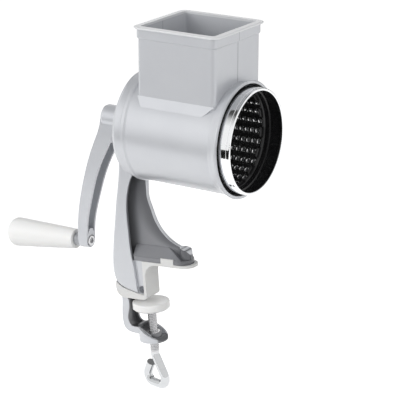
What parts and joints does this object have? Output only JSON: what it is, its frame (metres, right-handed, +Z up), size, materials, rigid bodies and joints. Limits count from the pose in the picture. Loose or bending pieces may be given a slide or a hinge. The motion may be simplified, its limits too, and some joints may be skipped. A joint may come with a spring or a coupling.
{
  "type": "hand cranked rotary drum grater",
  "caption": "Clamp-on hand cranked rotary drum grater with a square hopper, punched steel drum, curved crank arm with turning grip, and a screw clamp for the worktop edge.",
  "frame": {"origin": "middle of the clamping face under the foot, where it rests on the worktop, on the middle plane", "axes": "+Z up, normal to the worktop; +X the way the drum's open end faces; +Y to the left of the person looking out along +X"},
  "size_m": [0.271, 0.0998, 0.3353],
  "materials": {
    "stand_paint": "satin pale grey enamel, darker in the channels",
    "housing_paint": "satin pale grey, white rim",
    "bush_bronze": "machined",
    "seal_rubber": "satin black",
    "liner_white": "satin white",
    "bracket_paint": "satin pale grey enamel",
    "screw_steel": "zinc plated",
    "nut_steel": "zinc plated",
    "arm_paint": "satin pale grey enamel, darker in the channel",
    "insert_brass": "machined",
    "washer_nylon": "natural nylon",
    "drum_steel": "bright punched sheet, dark inside",
    "band_chrome": "polished",
    "plate_steel": "polished sheet",
    "shaft_steel": "turned",
    "bolt_steel": "zinc plated",
    "bolt_washer_steel": "zinc plated",
    "spacer_plastic": "satin grey-white",
    "sleeve_steel": "turned",
    "grip_nut_steel": "zinc plated",
    "grip_white": "satin white",
    "plug_white": "satin white",
    "pad_white": "satin white",
    "ring_steel": "zinc plated",
    "screw_chrome": "polished, threaded above the loop"
  },
  "bodies": {
    "frame": {"stand": "stand_paint", "drum_housing": "housing_paint", "shaft_bush": "bush_bronze", "mouth_seal": "seal_rubber", "jaw_liner": "liner_white", "clamp_bracket": "bracket_paint", "bracket_screws": "screw_steel", "clamp_nut": "nut_steel"},
    "crank": {"crank_arm": "arm_paint", "hub_insert": "insert_brass", "thrust_washer": "washer_nylon", "drum_wall": "drum_steel", "drum_front_band": "band_chrome", "drum_end_plate": "plate_steel", "drum_shaft": "shaft_steel", "handle_bolt": "bolt_steel", "bolt_washer": "bolt_washer_steel", "grip_spacer": "spacer_plastic", "grip_sleeve": "sleeve_steel", "grip_nut": "grip_nut_steel"},
    "grip": {"handle_grip": "grip_white", "grip_plug": "plug_white"},
    "pad": {"pressure_pad": "pad_white", "pad_ring": "ring_steel"},
    "screw": {"clamp_screw": "screw_chrome"}
  },
  "joints": [
    {"name": "crank_turn", "type": "hinge", "parent": "frame", "child": "crank", "pos_m": [-0.03039, 0, 0.12599], "axis": [0.9966, 0, -0.0825], "continuous": true},
    {"name": "grip_spin", "type": "hinge", "parent": "crank", "child": "grip", "pos_m": [-0.14, 0, 0.0124], "axis": [-1, 0, 0], "continuous": true},
    {"name": "pad_travel", "type": "slide", "parent": "frame", "child": "pad", "axis": [0, 0, 1], "range_m": [-0.012, 0.002]},
    {"name": "screw_turn", "type": "hinge", "parent": "pad", "child": "screw", "pos_m": [-0.03, 0, -0.06], "axis": [0, 0, 1], "range_deg": [-2900, 500]}
  ],
  "couplings": [
    {"joint": "screw_turn", "follows": "pad_travel", "rad_per_m": 4188.8}
  ]
}
